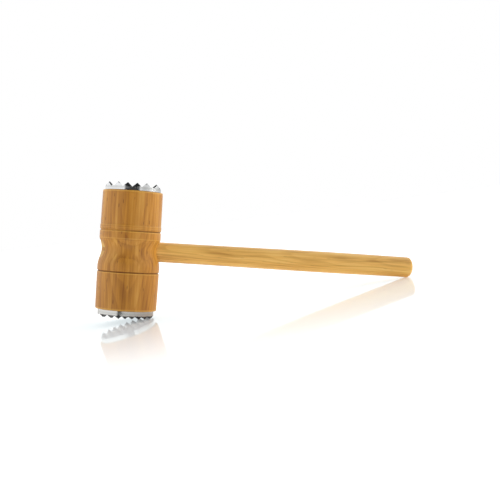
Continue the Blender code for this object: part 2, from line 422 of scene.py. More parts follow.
@dataclass(frozen=True)
class WoodFinish:
    """Turned hardwood: growth rings round a pith outside the piece, fibres, pores, and bands of wear,
    painted highlight and painted shade.
    """

    STREAKS = Figure(620, 24, 4, 0.6)
    BROAD = Figure(150, 9)
    PATCHES = Figure(34, 16, 1)
    WANDER = Figure(26, 11)
    PORES = Figure(520, 110)
    TONES = (0.16, 0.50, 0.86)
    BROAD_SHARE = 0.75
    PATCH_SHARE = 0.35
    END_GRAIN = (0.72, 0.96)
    WANDER_REACH = 0.006
    LATE_WOOD = (0.25, 0.90)
    RING_EDGE = (1.0, 0.90)
    PORE_EDGE = (0.30, 0.12)
    PORE_RARITY = 0.86
    TURNING_PITCH = 0.0017
    TURNING_EDGE = (0.3, 0.95)
    RELIEF = (0.32, 0.00035)
    WAX = {"IOR": 1.45, "Coat Weight": 0.06, "Coat Roughness": 0.3}

    name: str
    grain: Grain
    dark: Colour
    middle: Colour
    pale: Colour
    pore: Colour
    pith: tuple[float, float] = (0.012, 0.075)
    ring_width: float = 0.0021
    ring_drift: float = 0.05
    ring_strength: float = 0.10
    streak_strength: float = 0.55
    roughness: float = 0.42
    end_darkness: float = 0.45
    pore_strength: float = 0.65
    bands: tuple[Band, ...] = ()

    def _axes(self, point: Wire) -> tuple[Wire, Wire, Wire]:
        """Returns a vector's two parts across the grain, then its part along it."""
        x, y, z = point.parts()
        return (x, y, z) if self.grain is Grain.ALONG_HEAD else (y, z, x)

    def material(self, axes: ToolAxes) -> bpy.types.Material:
        """Builds the finish.

        Args:
            axes: The tool's axes.

        Returns:
            The material.
        """
        material, bench = new_finish(self.name)
        grain = self._axes(axes.coordinates(bench))
        streaks = self.STREAKS.noise(bench, grain)
        broad = self.BROAD.noise(bench, grain)
        patches = self.PATCHES.noise(bench, grain)
        rings = self._rings(bench, grain)
        ends = self._axes(axes.normal(bench))[2].size().ease(*self.END_GRAIN)

        tone = 0.5 + (streaks - 0.5) * self.streak_strength + (broad - 0.5) * self.BROAD_SHARE
        tone = tone + (patches - 0.5) * self.PATCH_SHARE - rings * self.ring_strength
        stops = list(zip(self.TONES, (self.dark, self.middle, self.pale)))
        colour = bench.add("ShaderNodeValToRGB", {"stops": stops}, {0: tone})
        pores = self._pores(bench, grain)
        colour = bench.blend(pores * self.pore_strength, colour, self.pore)
        colour = bench.blend(ends * self.end_darkness, colour, self.pore)

        rough = self.roughness + (streaks - 0.5) * 0.22 + pores * 0.2 + ends * 0.2
        height = (streaks - 0.5) * 0.5 - rings * 0.25 - pores * 0.9
        look = self._add_bands(bench, grain, streaks, (colour, rough, height))
        finish_solid(bench, look, self.RELIEF, self.WAX)
        return material

    def _rings(self, bench: Bench, grain: Sequence[Wire]) -> Wire:
        """Makes the growth rings.

        Args:
            bench: The finish's bench.
            grain: Two coordinates across the grain, and one along it.

        Returns:
            1 in the dark late wood of each ring, fading to 0 in the pale early wood.
        """
        across, aside, along = grain
        wander = self.WANDER.noise(bench, grain) - 0.5
        offset = bench.vector(across - self.pith[0], aside - self.pith[1], 0.0)
        distance = offset.length() + along * self.ring_drift + wander * self.WANDER_REACH
        year = (distance / self.ring_width).remainder()
        return year.ease(*self.LATE_WOOD) * year.ease(*self.RING_EDGE)

    def _pores(self, bench: Bench, grain: Sequence[Wire]) -> Wire:
        """Makes the short dark pores that lie along the grain.

        Args:
            bench: The finish's bench.
            grain: Two coordinates across the grain, and one along it.

        Returns:
            1 in a pore and 0 elsewhere.
        """
        feeds = {"Vector": self.PORES.place(bench, grain), "Scale": 1.0, "Randomness": 1.0}
        near = bench.add("ShaderNodeTexVoronoi", {"feature": "F1"}, feeds, "Distance")
        drawn = bench.add("ShaderNodeSeparateColor", {}, {0: near.beside("Color")})
        return near.ease(*self.PORE_EDGE) * drawn.over(self.PORE_RARITY)

    def _add_bands(self, bench: Bench, grain: Sequence[Wire], streaks: Wire, look: Look) -> Look:
        """Adds the bands round the head: darker grooves, painted shade in the upper one; pale wear and
        painted highlights; and tool marks.

        Args:
            bench: The finish's bench.
            grain: Two coordinates across the grain, the first toward the handle, and one along it.
            streaks: The fibre noise, which breaks the bands up.
            look: The wood's colour, roughness and relief so far.

        Returns:
            Colour, roughness and relief with the bands.
        """
        (across, _, along), (colour, rough, height) = grain, look
        for band in self.bands:
            mask = band.mask(along, across)
            # Darkens the groove toward the pore colour: painted shade in the upper groove.
            if band.mark is Mark.GROOVE_DARKENING:
                colour = bench.blend(mask * 0.8, colour, self.pore)
                rough = rough + mask * 0.15
            # Pale wear and painted highlight.
            elif band.mark is Mark.WEAR_AND_HIGHLIGHT:
                colour = bench.blend(mask * (0.35 + streaks * 0.4), colour, self.pale)
                rough = rough - mask * 0.08
            else:
                turns = (along * (math.tau / self.TURNING_PITCH)).wave()
                lines = turns.ease(*self.TURNING_EDGE) * mask
                colour = bench.blend(lines * 0.35, colour, self.pale)
                height = height + lines * 0.5
        return colour, rough, height


@dataclass(frozen=True)
class PlateFinish:
    """Cast aluminium: bright with a fine skin, greyer toward the grooves' roots, with painted shade on the
    teeth's sloping flanks and, where asked, near-black painted shade at the tips.
    """

    SKIN_SCALE = 900
    CLOUD_SCALE = 130
    SCRATCHES = (2600, 260, 900)
    SCRATCH_EDGE = (0.62, 0.75)
    # How far the greying toward the grooves' roots reaches, down from its top and up from the seat.
    GREYING_TOP = (0.0011, -0.0002)
    GREYING_FOOT = (0.0, 0.0024)
    # Which slopes count as sloping flanks, and how much painted shade they get.
    FLANK_RISE = (0.30, 0.50)
    FLANK_FALL = (0.97, 0.85)
    FLANK_SHADE_SHARE = 0.45
    # Where the painted shade at the tips begins, and how far its edge wanders.
    TIP_EDGE = (0.0006, 0.0018)
    TIP_WANDER = 0.0008
    RELIEF = (0.18, 0.00015)

    name: str = "cast_aluminium"
    metal: Colour = (0.85, 0.86, 0.87)
    # Grey for the scratches and for the greying toward the grooves' roots.
    dirt: Colour = (0.50, 0.50, 0.48)
    # Colour of the painted shade on the teeth's sloping flanks.
    flank: Colour = (0.33, 0.34, 0.35)
    # Near-black painted shade for the teeth's tips, where they meet the shade under the head, and how much
    # of it there is.
    stain: Colour = (0.07, 0.07, 0.075)
    painted_tip_shade: float = 0.0
    roughness: float = 0.10
    seat_height: float = 0.0556
    groove_height: float = 0.0029

    def material(self, axes: ToolAxes) -> bpy.types.Material:
        """Builds the finish.

        Args:
            axes: The tool's axes.

        Returns:
            The material.
        """
        material, bench = new_finish(self.name)
        point = axes.coordinates(bench)
        skin = bench.noise(point * self.SKIN_SCALE, 3, 0.6)
        clouds = bench.noise(point * self.CLOUD_SCALE, 2)
        parts = point.parts()
        stretched = bench.vector(*(part * scale for part, scale in zip(parts, self.SCRATCHES)))
        scratches = bench.noise(stretched, 2)
        above_groove = parts[2].size() - (self.seat_height + self.groove_height)
        # Greyer toward the grooves' roots, between the teeth.
        down = above_groove.ease(*self.GREYING_TOP) * (above_groove + self.groove_height).ease(*self.GREYING_FOOT)
        colour = bench.blend(down * (0.25 + clouds * 0.5), self.metal, self.dirt)
        colour = bench.blend(scratches.ease(*self.SCRATCH_EDGE) * 0.25, colour, self.dirt)
        # Painted shade on the sloping flanks, chosen by the way they face; the flat tops and the rim wall
        # stay bright.
        slope = axes.normal(bench).parts()[2].size()
        flank = slope.ease(*self.FLANK_RISE) * slope.ease(*self.FLANK_FALL)
        colour = bench.blend(flank * self.FLANK_SHADE_SHARE, colour, self.flank)
        # Painted shade: near-black toward the teeth's tips, by the tip share.
        tips = (above_groove + (clouds - 0.5) * self.TIP_WANDER).ease(*self.TIP_EDGE)
        colour = bench.blend(tips * self.painted_tip_shade, colour, self.stain)
        rough = self.roughness + (clouds - 0.5) * 0.14 + down * 0.05 + (skin - 0.5) * 0.08
        relief = (skin - 0.5) * 0.5 + (scratches - 0.5) * 0.3
        finish_solid(bench, (colour, rough, relief), self.RELIEF, {"Metallic": 1.0})
        return material


@dataclass(frozen=True)
class ScrewFinish:
    """Plain steel: faint turned rings, with a little rust."""

    RING_PITCH = 0.0003
    SPOT_SCALE = 700
    SPOT_EDGE = (0.58, 0.74)
    RELIEF = (0.2, 0.0001)

    name: str = "screw_steel"
    steel: Colour = (0.56, 0.56, 0.55)
    rust: Colour = (0.20, 0.09, 0.04)
    roughness: float = 0.32

    def material(self, axes: ToolAxes) -> bpy.types.Material:
        """Builds the finish.

        Args:
            axes: The tool's axes.

        Returns:
            The material.
        """
        material, bench = new_finish(self.name)
        point = axes.coordinates(bench)
        x, y, _ = point.parts()
        rings = (bench.vector(x, y, 0.0).length() * (math.tau / self.RING_PITCH)).wave()
        spots = bench.noise(point * self.SPOT_SCALE, 4, 0.65)
        rusty = spots.ease(*self.SPOT_EDGE)
        colour = bench.blend(rusty * 0.7, self.steel, self.rust)
        rough = self.roughness + rings * 0.04 + rusty * 0.3
        relief = rings * 0.2 + spots * 0.6
        finish_solid(bench, (colour, rough, relief), self.RELIEF, {"Metallic": 1.0})
        return material


# ---------------------------------------------------------------- meshes


def closed_mesh(name: str, shape: bmesh.types.BMesh) -> bpy.types.Mesh:
    """Merges doubles, turns every face outwards and makes a mesh of the shape, which is freed.

    Args:
        name: The mesh's name.
        shape: The shape.

    Returns:
        The mesh.
    """
    bmesh.ops.remove_doubles(shape, verts=shape.verts, dist=MERGE_REACH)
    bmesh.ops.recalc_face_normals(shape, faces=shape.faces)
    mesh = bpy.data.meshes.new(name)
    shape.to_mesh(mesh)
    shape.free()
    return mesh


def turned_mesh(name: str, profile: Profile, steps: int) -> bpy.types.Mesh:
    """Turns a profile round the Z axis into a closed solid.

    Args:
        name: The mesh's name.
        profile: Its (radius, height) points. The first and last lie on the axis.
        steps: How many facets go round.

    Returns:
        The mesh.
    """
    shape = bmesh.new()
    rings = []
    for radius, height in profile:
        count = steps if radius > 0 else 1
        angles = [math.tau * i / steps for i in range(count)]
        rings.append([shape.verts.new((radius * math.cos(a), radius * math.sin(a), height)) for a in angles])
    for above, below in zip(rings, rings[1:]):
        for i in range(steps):
            j = (i + 1) % steps
            corners = ((above, i), (above, j), (below, j), (below, i))
            shape.faces.new(dict.fromkeys(ring[k % len(ring)] for ring, k in corners))
    return closed_mesh(name, shape)


def shaped_block(name: str, cuts: int, place: Placing) -> bpy.types.Mesh:
    """Makes a block of small faces and moves each of its points.

    Args:
        name: The mesh's name.
        cuts: How many cuts go across each edge.
        place: Gives a point's position from its shares, from 0 to 1, along X, Y and Z.

    Returns:
        The mesh.
    """
    shape = bmesh.new()
    bmesh.ops.create_cube(shape, size=1.0)
    bmesh.ops.subdivide_edges(shape, edges=shape.edges, cuts=cuts, use_grid_fill=True)
    for vertex in shape.verts:
        vertex.co = place(*(value + 0.5 for value in vertex.co))
    return closed_mesh(name, shape)


def rod_mesh(name: str, radius: float, low: float, high: float, steps: int) -> bpy.types.Mesh:
    """Returns a plain rod along Z, to cut a bore with."""
    return turned_mesh(name, [(0, high), (radius, high), (radius, low), (0, low)], steps)


class Workshop:
    """Joins, cuts and softens pieces, and stands them on the frame."""

    def __init__(self, axes: ToolAxes) -> None:
        """Makes the collection that the finished pieces go in.

        Args:
            axes: The tool's axes.
        """
        self.axes = axes
        self.collection = bpy.data.collections.new("meat_mallet")
        bpy.context.scene.collection.children.link(self.collection)

    def blank(self, name: str, mesh: bpy.types.Mesh) -> bpy.types.Object:
        """Returns an object of a mesh, in the collection."""
        self.collection.objects.link(piece := bpy.data.objects.new(name, mesh))
        return piece

    def settle(self, piece: bpy.types.Object) -> None:
        """Replaces a piece's mesh with what its modifiers make of it, and removes them.

        Args:
            piece: The piece.
        """
        graph = bpy.context.evaluated_depsgraph_get()
        rough = piece.data
        piece.data = bpy.data.meshes.new_from_object(piece.evaluated_get(graph))
        piece.modifiers.clear()
        bpy.data.meshes.remove(rough)
        piece.data.name = piece.name

    def cut(self, piece: bpy.types.Object, tools: Iterable[bpy.types.Mesh]) -> None:
        """Cuts shapes out of a piece.

        Args:
            piece: The piece, a closed solid.
            tools: The closed shapes to take away.
        """
        for mesh in tools:
            tool = self.blank("tool", mesh)
            boolean = piece.modifiers.new("cut", "BOOLEAN")
            boolean.operation = "DIFFERENCE"
            boolean.solver = "EXACT"
            boolean.object = tool
            self.settle(piece)
            bpy.data.objects.remove(tool)
            bpy.data.meshes.remove(mesh)

    def soften(self, piece: bpy.types.Object, width: float, segments: int, angle: float) -> None:
        """Rounds a piece's sharp edges.

        Args:
            piece: The piece.
            width: Width of the rounding.
            segments: How many faces go round it.
            angle: Edges that turn by more than this many degrees are rounded.
        """
        bevel = piece.modifiers.new("soft_edges", "BEVEL")
        bevel.width = width
        bevel.segments = segments
        bevel.limit_method = "ANGLE"
        bevel.angle_limit = math.radians(angle)
        bevel.use_clamp_overlap = True
        self.settle(piece)

    def deliver(
        self, piece: bpy.types.Object, node: str, finish: bpy.types.Material, crease: float
    ) -> bpy.types.Object:
        """Stands a finished piece on the frame, in place of its plain solid.

        Args:
            piece: The piece, in the tool's axes.
            node: The plain solid that it stands for.
            finish: Its material.
            crease: Edges that turn by more than this many degrees stay sharp.

        Returns:
            The piece.
        """
        mesh = piece.data
        mesh.transform(self.axes.placement)
        mesh.materials.clear()
        mesh.materials.append(finish)
        for polygon in mesh.polygons:
            polygon.material_index = 0
        mesh.shade_smooth()
        mesh.set_sharp_from_angle(angle=math.radians(crease))
        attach(piece, "root")
        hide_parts(node)
        LOG.info("%s: %d faces, for %s, finished in %s", piece.name, len(mesh.polygons), node, finish.name)
        return piece


# ---------------------------------------------------------------- turned head


@dataclass
class TurnedHead:
    """The head, turned with its grain upright: plain, collar, cove, plain, with two grooves."""

    LIP_REACH = 1.15
    LIP_DROP = 0.00008
    GROOVE_FULLNESS = (2.6, 0.8)
    CREASE = 32

    length: float = 0.1106
    edge: float = 0.0008
    upper_end_radius: float = 0.0278
    upper_radius: float = 0.0281
    collar_top: float = 0.0230
    collar_radius: float = 0.0284
    upper_groove: float = 0.0183
    cove_top: float = 0.0108
    cove_deepest: float = 0.0003
    cove_foot: float = -0.0150
    cove_radius: float = 0.0258
    lower_groove: float = -0.0200
    lower_radius: float = 0.0288
    lower_end_radius: float = 0.0284
    groove_width: float = 0.0014
    groove_depth: float = 0.0008
    mortise_radius: float = 0.0094 + SNUG_GAP
    pilot_radius: float = 0.0018 + FIT_GAP
    pilot_depth: float = 0.0280
    steps: int = 192

    def plain_radius(self, height: float) -> float:
        """Works out the radius without grooves.

        Args:
            height: Height along the head, from its middle.

        Returns:
            The radius there.
        """
        if height > self.collar_top:
            share = (height - self.collar_top) / (self.length / 2 - self.collar_top)
            return between(self.upper_radius, self.upper_end_radius, share**2)
        if height >= self.cove_top:
            return self.collar_radius
        if height > self.cove_deepest:
            share = (self.cove_top - height) / (self.cove_top - self.cove_deepest)
            return between(self.collar_radius, self.cove_radius, math.sin(math.pi / 2 * share))
        if height > self.cove_foot:
            share = (self.cove_deepest - height) / (self.cove_deepest - self.cove_foot)
            return between(self.cove_radius, self.lower_radius, swing(share))
        if height > self.lower_groove:
            return self.lower_radius
        share = (self.lower_groove - height) / (self.lower_groove + self.length / 2)
        return between(self.lower_radius, self.lower_end_radius, share**2)

    def _surface(self, high: float, low: float, count: int) -> Profile:
        """Returns points down the surface from one height to another."""
        return [(self.plain_radius(height), height) for height in stations(high, low, count)]

    def _groove(self, height: float) -> Profile:
        """Makes a round-bottomed groove with softened lips.

        Args:
            height: Height of its middle.

        Returns:
            Its points, from its upper lip to its lower one.
        """
        half, (bow, ease) = self.groove_width / 2, self.GROOVE_FULLNESS
        points = []
        for share in stations(-self.LIP_REACH, self.LIP_REACH, 15):
            depth = self.groove_depth * max(0.0, 1 - abs(share) ** bow) ** ease
            lip = self.LIP_DROP * max(0.0, 1 - abs(abs(share) - 1) / (self.LIP_REACH - 1))
            at = height - share * half
            points.append((self.plain_radius(at) - depth - lip * (share > 0), at))
        return points

    def _rounding(self, radius: float, side: int) -> Profile:
        """Makes the rounded edge of an end.

        Args:
            radius: The end's radius.
            side: 1 above, and -1 below.

        Returns:
            Its points, from the end inwards.
        """
        centre = self.length / 2 - self.edge
        points = []
        for angle in stations(math.pi / 2, 0, 5):
            inwards, out = self.edge * (1 - math.cos(angle)), self.edge * math.sin(angle)
            points.append((radius - inwards, side * (centre + out)))
        return points

    def profile(self) -> Profile:
        """Returns the whole profile, from the middle of the top to the middle of the bottom."""
        top, half, step = self.length / 2, self.groove_width / 2 * self.LIP_REACH, 0.0004
        return [
            (0, top),
            *[(self.upper_end_radius * share, top) for share in (0.25, 0.5, 0.75)],
            *self._rounding(self.upper_end_radius, 1),
            *self._surface(top - 1.5 * self.edge, self.collar_top + step, 20),
            (self.collar_radius - 0.00005, self.collar_top),
            *self._surface(self.collar_top - step, self.upper_groove + half + step, 4),
            *self._groove(self.upper_groove),
            *self._surface(self.upper_groove - half - step, self.cove_top + step / 2, 5),
            *self._surface(self.cove_top - step / 2, self.lower_groove + half + step, 44),
            *self._groove(self.lower_groove),
            *self._surface(self.lower_groove - half - step, 1.5 * self.edge - top, 22),
            *reversed(self._rounding(self.lower_end_radius, -1)),
            *[(self.lower_end_radius * share, -top) for share in (0.75, 0.5, 0.25)],
            (0, -top),
        ]

    def far_side(self, across: float, height: float) -> float:
        """Returns X just inside the outline, on the side of the head away from the handle."""
        return -math.sqrt(self.plain_radius(height) ** 2 - across**2) * INSET_SHARE

    def finish(self) -> WoodFinish:
        """Returns the head's wood, with its bands of wear, painted highlight and painted shade, and its
        turning marks.
        """
        half = self.groove_width / 2
        bands = (
            Band(Mark.TURNING, self.collar_top - 0.0016, 0.0032, 0.8),
            Band(Mark.TURNING, self.cove_top - 0.001, 0.003, 0.5),
            # Pale rims at both ends: wear and painted highlight.
            Band(Mark.WEAR_AND_HIGHLIGHT, self.length / 2, 0.0022),
            Band(Mark.WEAR_AND_HIGHLIGHT, -self.length / 2, 0.0022),
            # Pale lines on the collar's and the cove's top edges: wear and painted highlight.
            Band(Mark.WEAR_AND_HIGHLIGHT, self.collar_top, 0.0006, 0.3),
            Band(Mark.WEAR_AND_HIGHLIGHT, self.cove_top, 0.0008, 0.45),
            # Pale lines under the grooves: the lower lips' painted highlight, with wear.
            Band(Mark.WEAR_AND_HIGHLIGHT, self.upper_groove - 1.5 * half, half * 0.9),
            Band(Mark.WEAR_AND_HIGHLIGHT, self.lower_groove - 1.5 * half, half * 0.9),
            # Painted light in the upper groove, lifting the shade that its own shape gives it.
            Band(Mark.WEAR_AND_HIGHLIGHT, self.upper_groove, half * 1.2, 0.5),
            # Painted shade in the upper groove, mostly on the handle's side, where the groove falls in
            # shade.
            Band(Mark.GROOVE_DARKENING, self.upper_groove, half * 0.9, 0.75, far_share=0.1),
            # The lower groove, darker all round.
            Band(Mark.GROOVE_DARKENING, self.lower_groove, half * 0.9, 0.8),
        )
        return WoodFinish(
            name="head_wood",
            grain=Grain.ALONG_HEAD,
            dark=stain(136, 80, 14),
            middle=stain(186, 125, 38),
            pale=stain(216, 164, 74),
            pore=stain(92, 52, 18),
            bands=bands,
        )

    def build(self, shop: Workshop) -> bpy.types.Object:
        """Turns the head and bores it for the tenon and the two screws.

        Args:
            shop: The workshop.

        Returns:
            The finished head.
        """
        head = shop.blank("turned_head", turned_mesh("turned_head", self.profile(), self.steps))
        reach = self.lower_radius + OVERRUN
        mortise = rod_mesh("mortise", self.mortise_radius, -reach, reach, 128)
        mortise.transform(Matrix.Rotation(math.pi / 2, 4, "Y"))
        top = self.length / 2
        upper = rod_mesh("pilot", self.pilot_radius, top - self.pilot_depth, top + OVERRUN, 32)
        lower = rod_mesh("pilot", self.pilot_radius, -top - OVERRUN, self.pilot_depth - top, 32)
        shop.cut(head, (mortise, upper, lower))
        finish = self.finish().material(shop.axes)
        return shop.deliver(head, "head_barrel", finish, self.CREASE)


# ---------------------------------------------------------------- handle and wedge


@dataclass
class Handle:
    """The handle, turned in one piece with the tenon that runs through the head."""

    head: TurnedHead
    reach: float = 0.2875
    tenon_radius: float = 0.0094
    swell_radius: float = 0.0104
    swell_distance: float = 0.2100
    butt_radius: float = 0.0102
    butt_rounding: float = 0.0042
    steps: int = 128

    def radius(self, distance: float) -> float:
        """Works out the radius.

        Args:
            distance: Distance from the head's axis.

        Returns:
            The radius there.
        """
        start, end = self.head.cove_radius, self.reach - self.butt_rounding
        if distance <= start:
            return self.tenon_radius
        if distance <= self.swell_distance:
            low, high = self.tenon_radius, self.swell_radius
            share = (distance - start) / (self.swell_distance - start)
        else:
            low, high = self.swell_radius, self.butt_radius
            share = (distance - self.swell_distance) / (end - self.swell_distance)
        return between(low, high, swing(share))

    def profile(self) -> Profile:
        """Returns the profile from the middle of the butt to the middle of the tenon's end."""
        end = self.reach - self.butt_rounding
        flat = self.butt_radius - self.butt_rounding
        rounding = [
            (flat + self.butt_rounding * math.cos(angle), end + self.butt_rounding * math.sin(angle))
            for angle in stations(math.pi / 2, 0, 12)
        ]
        grip = [(self.radius(x), x) for x in stations(end, 0.0, 60)[1:]]
        tenon_end = -self.head.cove_radius
        cap = [(self.tenon_radius * share, tenon_end) for share in (1.0, 0.98, 0.85, 0.6, 0.3)]
        middle_of_butt = [(0, self.reach), (flat * 0.35, self.reach), (flat * 0.7, self.reach)]
        return [*middle_of_butt, *rounding, *grip, *cap, (0, tenon_end)]

    def finish(self) -> WoodFinish:
        """Returns the handle's wood."""
        return WoodFinish(
            name="handle_wood",
            grain=Grain.ALONG_HANDLE,
            dark=stain(186, 132, 52),
            middle=stain(232, 180, 90),
            pale=stain(250, 216, 136),
            pore=stain(104, 64, 26),
            pith=(0.026, -0.018),
            ring_width=0.0018,
            ring_drift=0.022,
            ring_strength=0.12,
            roughness=0.38,
            end_darkness=0.35,
            pore_strength=0.18,
        )

    def build(self, shop: Workshop, wedge: "Wedge") -> bpy.types.Object:
        """Turns the handle, trims the tenon to the head's outline and saws the wedge's slot.

        Args:
            shop: The workshop.
            wedge: The wedge that spreads the tenon.

        Returns:
            The finished handle.
        """
        mesh = turned_mesh("turned_handle", self.profile(), self.steps)
        mesh.transform(Matrix.Rotation(math.pi / 2, 4, "Y"))
        for vertex in mesh.vertices:
            if vertex.co.x < -self.head.cove_radius / 2:
                vertex.co.x = self.head.far_side(vertex.co.y, vertex.co.z)
        handle = shop.blank("turned_handle", mesh)
        shop.cut(handle, (wedge.slot(self.tenon_radius),))
        finish = self.finish().material(shop.axes)
        return shop.deliver(handle, "handle", finish, self.head.CREASE)


@dataclass
class Wedge:
    """The wedge driven into the tenon's far end, across the head's grain."""

    head: TurnedHead
    length: float = 0.0240
    thick_end: float = 0.0030
    thin_end: float = 0.0012
    half_width: float = 0.0087

    def _thickness(self, x: float) -> float:
        """Returns the thickness at a place along the handle's axis."""
        share = (x + self.head.cove_radius) / self.length
        return between(self.thick_end, self.thin_end, share)

    def slot(self, tenon_radius: float) -> bpy.types.Mesh:
        """Makes the shape of the saw slot, which is open at the tenon's far end.

        Args:
            tenon_radius: The tenon's radius.

        Returns:
            The mesh to saw with.
        """
        start, end = -self.head.cove_radius - OVERRUN, self.length - self.head.cove_radius + FIT_GAP
        wide = 2 * (tenon_radius + OVERRUN)

        def place(x: float, y: float, z: float) -> Sequence[float]:
            """Places a point of the slot."""
            at = between(start, end, x)
            return at, (y - 0.5) * wide, (z - 0.5) * (self._thickness(at) + 2 * SNUG_GAP)

        return shaped_block("wedge_slot", 1, place)

    def finish(self) -> WoodFinish:
        """Returns the wedge's darker wood."""
        return WoodFinish(
            name="wedge_wood",
            grain=Grain.ALONG_HANDLE,
            dark=stain(150, 96, 36),
            middle=stain(190, 132, 60),
            pale=stain(214, 160, 84),
            pore=stain(52, 28, 14),
            pith=(0.004, 0.030),
            ring_width=0.0011,
            roughness=0.55,
            end_darkness=0.2,
        )

    def build(self, shop: Workshop) -> bpy.types.Object:
        """Cuts the wedge and trims its thick end to the head's outline.

        Args:
            shop: The workshop.

        Returns:
            The finished wedge.
        """
        end, wide = self.length - self.head.cove_radius, 2 * self.half_width

        def place(x: float, y: float, z: float) -> Sequence[float]:
            """Places a point of the wedge."""
            at = between(self.head.far_side((y - 0.5) * wide, 0.0), end, x)
            return at, (y - 0.5) * wide, (z - 0.5) * self._thickness(at)

        wedge = shop.blank("cut_wedge", shaped_block("cut_wedge", 9, place))
        shop.soften(wedge, 0.00012, 2, 40)
        finish = self.finish().material(shop.axes)
        return shop.deliver(wedge, "handle_wedge", finish, 40)


# ---------------------------------------------------------------- toothed plates and their screws


class PlateTree:
    """The Geometry Nodes tree that makes a toothed plate: a tiled field of pyramid teeth, cut round."""

    SIZES = {
        "Radius": 0.0260,
        "Thickness": 0.0070,
        "Pitch": 0.0086,
        "Tooth Height": 0.0041,
        "Tip Width": 0.0005,
        "Hip Width": 0.00022,
        "Hole Radius": 0.0020,
        "Seat Radius": 0.0034,
        "Seat Depth": 0.0021,
    }
    ROWS = "Rows"
    FINISH = "Finish"
    TOOTH_SIDES = 8
    TOOTH_LEVELS = 6
    TIP_CROWDING = 2.5
    TIP_SMOOTHING = 0.6
    LAST_TIP_SHARE = 0.2
    HIP_LIMIT = 0.45
    RIM_STEPS = 192
    HOLE_STEPS = 48
    WELD_REACH = 0.000001
    OVERLAP = 0.00002

    def __init__(self) -> None:
        """Builds the tree and keeps the identifier of each input."""
        self.tree = bpy.data.node_groups.new("toothed_plate", "GeometryNodeTree")
        self.names: dict[str, str] = {}
        interface = self.tree.interface
        interface.new_socket(name="Geometry", in_out="OUTPUT", socket_type="NodeSocketGeometry")
        for name, value in self.SIZES.items():
            socket = interface.new_socket(name=name, in_out="INPUT", socket_type="NodeSocketFloat")
            socket.default_value = value
            self.names[name] = socket.identifier
        for name, kind in ((self.ROWS, "NodeSocketInt"), (self.FINISH, "NodeSocketMaterial")):
            self.names[name] = interface.new_socket(name=name, in_out="INPUT", socket_type=kind).identifier
        self.bench = Bench(self.tree)
        self.sizes = self.bench.add("NodeGroupInput")
        plate = self._bored(self._round(self._field()))
        plate = self.bench.add("GeometryNodeRealizeInstances", {}, {0: plate})
        feeds = {0: plate, "Material": self._size(self.FINISH)}
        plate = self.bench.add("GeometryNodeSetMaterial", {}, feeds)
        output = self.tree.nodes.new("NodeGroupOutput")
        self.bench.feed(output.inputs[0], plate)

    def _size(self, name: str) -> Wire:
        """Returns one of the tree's named inputs."""
        return self.sizes.beside(name)

    def _root(self) -> Wire:
        """Returns the height of the grooves' bottoms over the seat."""
        return self._size("Thickness") - self._size("Tooth Height")

    def _tooth(self) -> Wire:
        """Returns one open square tooth that fills its cell, with eased hips and a blunted tip."""
        bench = self.bench
        sides, levels = self.TOOTH_SIDES, self.TOOTH_LEVELS
        feeds = {"Vertices": sides, "Side Segments": levels, "Radius": 1.0, "Depth": 1.0}
        post = bench.add("GeometryNodeMeshCylinder", {"fill_type": "NGON"}, feeds)
        feeds = {0: post, 1: post.beside("Bottom")}
        post = bench.add("GeometryNodeDeleteGeometry", {"domain": "FACE"}, feeds)
        feeds = {0: post, "Rotation": (0.0, 0.0, math.pi / sides)}
        post = bench.add("GeometryNodeTransform", {}, feeds)
        x, y, z = bench.add("GeometryNodeInputPosition").parts()
        level = z + 0.5
        tip, tall, half_cell = self._size("Tip Width"), self._size("Tooth Height"), self._size("Pitch") * 0.5
        narrowing = (1.0 - level).most(0.0) ** self.TIP_CROWDING
        half = half_cell * narrowing + tip * self.LAST_TIP_SHARE * level
        hip = self._size("Hip Width").least(half * self.HIP_LIMIT) * (level * levels).least(1.0)
        flank = (half_cell - half) / (half_cell - tip * 0.5) * tall
        feeds = {0: flank, 1: tall, 2: tip * self.TIP_SMOOTHING}
        rise = bench.add("ShaderNodeMath", {"operation": "SMOOTH_MIN"}, feeds)
        middle = math.cos(math.pi / 4)
        across = x.sign() * (half - hip * (1.0 - x.size().over(middle)))
        aside = y.sign() * (half - hip * (1.0 - y.size().over(middle)))
        place = bench.vector(across, aside, rise + self._root())
        return bench.add("GeometryNodeSetPosition", {}, {0: post, "Position": place})

    def _field(self) -> Wire:
        """Returns a thick closed square block whose top is covered with teeth."""
        bench = self.bench
        rows = self._size(self.ROWS)
        span = self._size("Pitch") * (rows - 1.0)
        feeds = {"Size X": span, "Size Y": span, "Vertices X": rows, "Vertices Y": rows}
        cells = bench.add("GeometryNodeMeshGrid", {}, feeds)
        teeth = bench.add("GeometryNodeInstanceOnPoints", {}, {"Points": cells, "Instance": self._tooth()})
        teeth = bench.add("GeometryNodeRealizeInstances", {}, {0: teeth})
        sheet = bench.add("GeometryNodeMergeByDistance", {}, {0: teeth, "Distance": self.WELD_REACH})
        drop = self._size("Thickness") * -2.0
        down = {0: sheet, "Offset": bench.vector(0.0, 0.0, drop), "Offset Scale": 1.0, "Individual": False}
        under = bench.add("GeometryNodeExtrudeMesh", {"mode": "FACES"}, down)
        under = bench.add("GeometryNodeFlipFaces", {}, {0: under})
        block = bench.add("GeometryNodeJoinGeometry", {}, {0: [sheet, under]})
        return bench.add("GeometryNodeMergeByDistance", {}, {0: block, "Distance": self.WELD_REACH})

    def _rod(self, radius: Wire, low: Feed, high: Feed, steps: int) -> Wire:
        """Makes a rod along Z.

        Args:
            radius: Its radius.
            low: Height of its lower end.
            high: Height of its upper end.
            steps: How many facets go round.

        Returns:
            The rod.
        """
        bench = self.bench
        feeds = {"Vertices": steps, "Radius": radius, "Depth": high - low}
        rod = bench.add("GeometryNodeMeshCylinder", {"fill_type": "NGON"}, feeds)
        middle = bench.vector(0.0, 0.0, (high + low) * 0.5)
        return bench.add("GeometryNodeTransform", {}, {0: rod, "Translation": middle})

